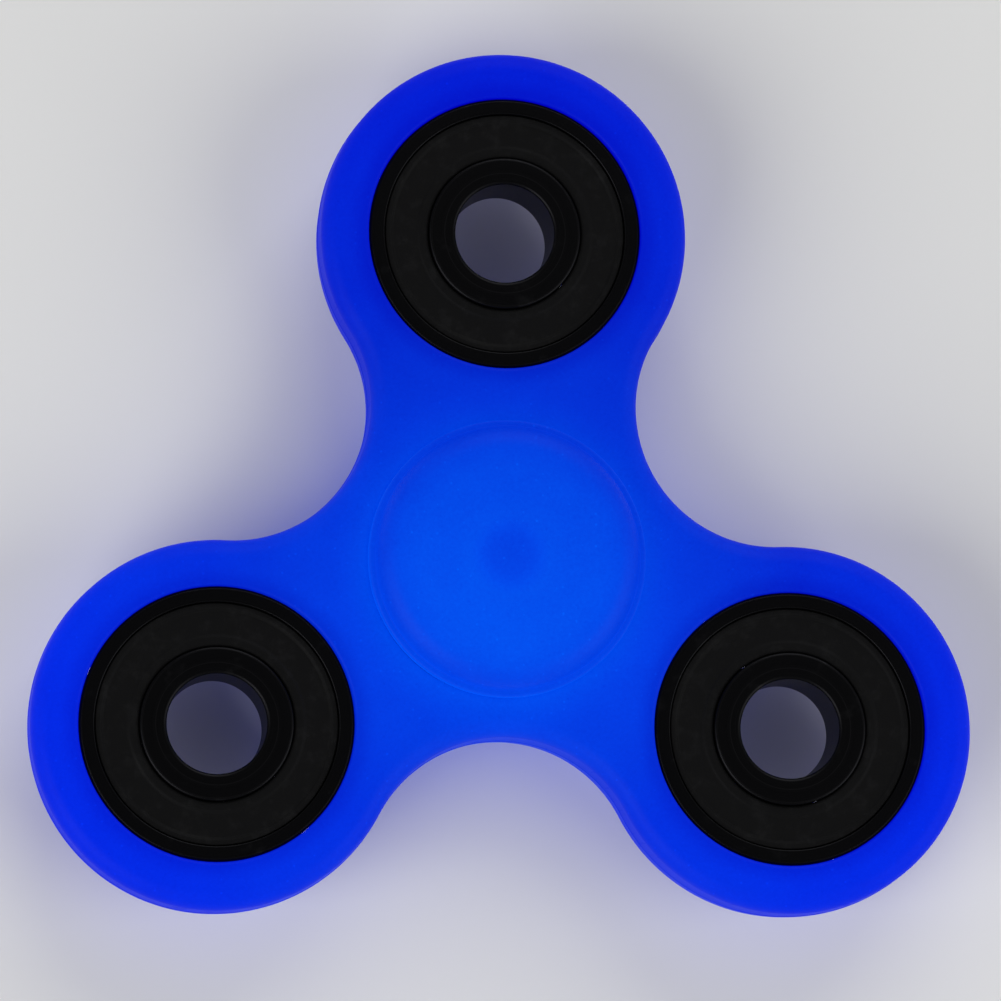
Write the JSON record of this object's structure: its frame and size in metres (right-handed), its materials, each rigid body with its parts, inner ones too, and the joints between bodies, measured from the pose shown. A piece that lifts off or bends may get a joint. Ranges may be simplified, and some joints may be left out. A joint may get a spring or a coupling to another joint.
{
  "type": "fidget spinner",
  "caption": "Palm-sized three-lobed spinner of blue glow plastic that turns on a ball bearing between two round finger caps, with bearings in its lobes as counterweights.",
  "frame": {"origin": "on the spin axis, halfway through the body's thickness", "axes": "+Z along the spin axis, out of the upper cap; +Y towards lobe 1; +X to the right, between lobes 1 and 3"},
  "size_m": [0.0758, 0.0697, 0.0152],
  "materials": {
    "glow_plastic": "satin moulded plastic with glow-in-the-dark pigment",
    "ring_steel": "black oxide, fine turned",
    "seal_rubber": "matte moulded",
    "ball_steel": "polished",
    "cage_nylon": "matte moulded"
  },
  "bodies": {
    "finger_caps": {"upper_cap": "glow_plastic", "lower_cap": "glow_plastic", "centre_inner_ring": "ring_steel"},
    "spinner": {"spinner_body": "glow_plastic", "centre_outer_ring": "ring_steel", "centre_upper_seal": "seal_rubber", "centre_lower_seal": "seal_rubber", "lobe_1_outer_ring": "ring_steel", "lobe_1_upper_seal": "seal_rubber", "lobe_1_lower_seal": "seal_rubber", "lobe_2_outer_ring": "ring_steel", "lobe_2_upper_seal": "seal_rubber", "lobe_2_lower_seal": "seal_rubber", "lobe_3_outer_ring": "ring_steel", "lobe_3_upper_seal": "seal_rubber", "lobe_3_lower_seal": "seal_rubber"},
    "centre_ball_set": {"centre_cage": "cage_nylon", "centre_ball_1": "ball_steel", "centre_ball_2": "ball_steel", "centre_ball_3": "ball_steel", "centre_ball_4": "ball_steel", "centre_ball_5": "ball_steel", "centre_ball_6": "ball_steel", "centre_ball_7": "ball_steel"},
    "lobe_1_hub": {"lobe_1_inner_ring": "ring_steel"},
    "lobe_1_ball_set": {"lobe_1_cage": "cage_nylon", "lobe_1_ball_1": "ball_steel", "lobe_1_ball_2": "ball_steel", "lobe_1_ball_3": "ball_steel", "lobe_1_ball_4": "ball_steel", "lobe_1_ball_5": "ball_steel", "lobe_1_ball_6": "ball_steel", "lobe_1_ball_7": "ball_steel"},
    "lobe_2_hub": {"lobe_2_inner_ring": "ring_steel"},
    "lobe_2_ball_set": {"lobe_2_cage": "cage_nylon", "lobe_2_ball_1": "ball_steel", "lobe_2_ball_2": "ball_steel", "lobe_2_ball_3": "ball_steel", "lobe_2_ball_4": "ball_steel", "lobe_2_ball_5": "ball_steel", "lobe_2_ball_6": "ball_steel", "lobe_2_ball_7": "ball_steel"},
    "lobe_3_hub": {"lobe_3_inner_ring": "ring_steel"},
    "lobe_3_ball_set": {"lobe_3_cage": "cage_nylon", "lobe_3_ball_1": "ball_steel", "lobe_3_ball_2": "ball_steel", "lobe_3_ball_3": "ball_steel", "lobe_3_ball_4": "ball_steel", "lobe_3_ball_5": "ball_steel", "lobe_3_ball_6": "ball_steel", "lobe_3_ball_7": "ball_steel"}
  },
  "joints": [
    {"name": "body_spin", "type": "hinge", "parent": "finger_caps", "child": "spinner", "pos_m": [0, 0, 0], "axis": [0, 0, 1], "continuous": true},
    {"name": "centre_balls_orbit", "type": "hinge", "parent": "finger_caps", "child": "centre_ball_set", "pos_m": [0, 0, 0], "axis": [0, 0, 1], "continuous": true},
    {"name": "lobe_1_hub_spin", "type": "hinge", "parent": "spinner", "child": "lobe_1_hub", "pos_m": [0, 0.0266, 0], "axis": [0, 0, 1], "continuous": true},
    {"name": "lobe_1_balls_orbit", "type": "hinge", "parent": "spinner", "child": "lobe_1_ball_set", "pos_m": [0, 0.0266, 0], "axis": [0, 0, 1], "continuous": true},
    {"name": "lobe_2_hub_spin", "type": "hinge", "parent": "spinner", "child": "lobe_2_hub", "pos_m": [-0.02304, -0.0133, 0], "axis": [0, 0, 1], "continuous": true},
    {"name": "lobe_2_balls_orbit", "type": "hinge", "parent": "spinner", "child": "lobe_2_ball_set", "pos_m": [-0.02304, -0.0133, 0], "axis": [0, 0, 1], "continuous": true},
    {"name": "lobe_3_hub_spin", "type": "hinge", "parent": "spinner", "child": "lobe_3_hub", "pos_m": [0.02304, -0.0133, 0], "axis": [0, 0, 1], "continuous": true},
    {"name": "lobe_3_balls_orbit", "type": "hinge", "parent": "spinner", "child": "lobe_3_ball_set", "pos_m": [0.02304, -0.0133, 0], "axis": [0, 0, 1], "continuous": true}
  ],
  "couplings": [
    {"joint": "centre_balls_orbit", "follows": "body_spin", "ratio": 0.6323},
    {"joint": "lobe_1_balls_orbit", "follows": "lobe_1_hub_spin", "ratio": 0.3677},
    {"joint": "lobe_2_balls_orbit", "follows": "lobe_2_hub_spin", "ratio": 0.3677},
    {"joint": "lobe_3_balls_orbit", "follows": "lobe_3_hub_spin", "ratio": 0.3677}
  ]
}
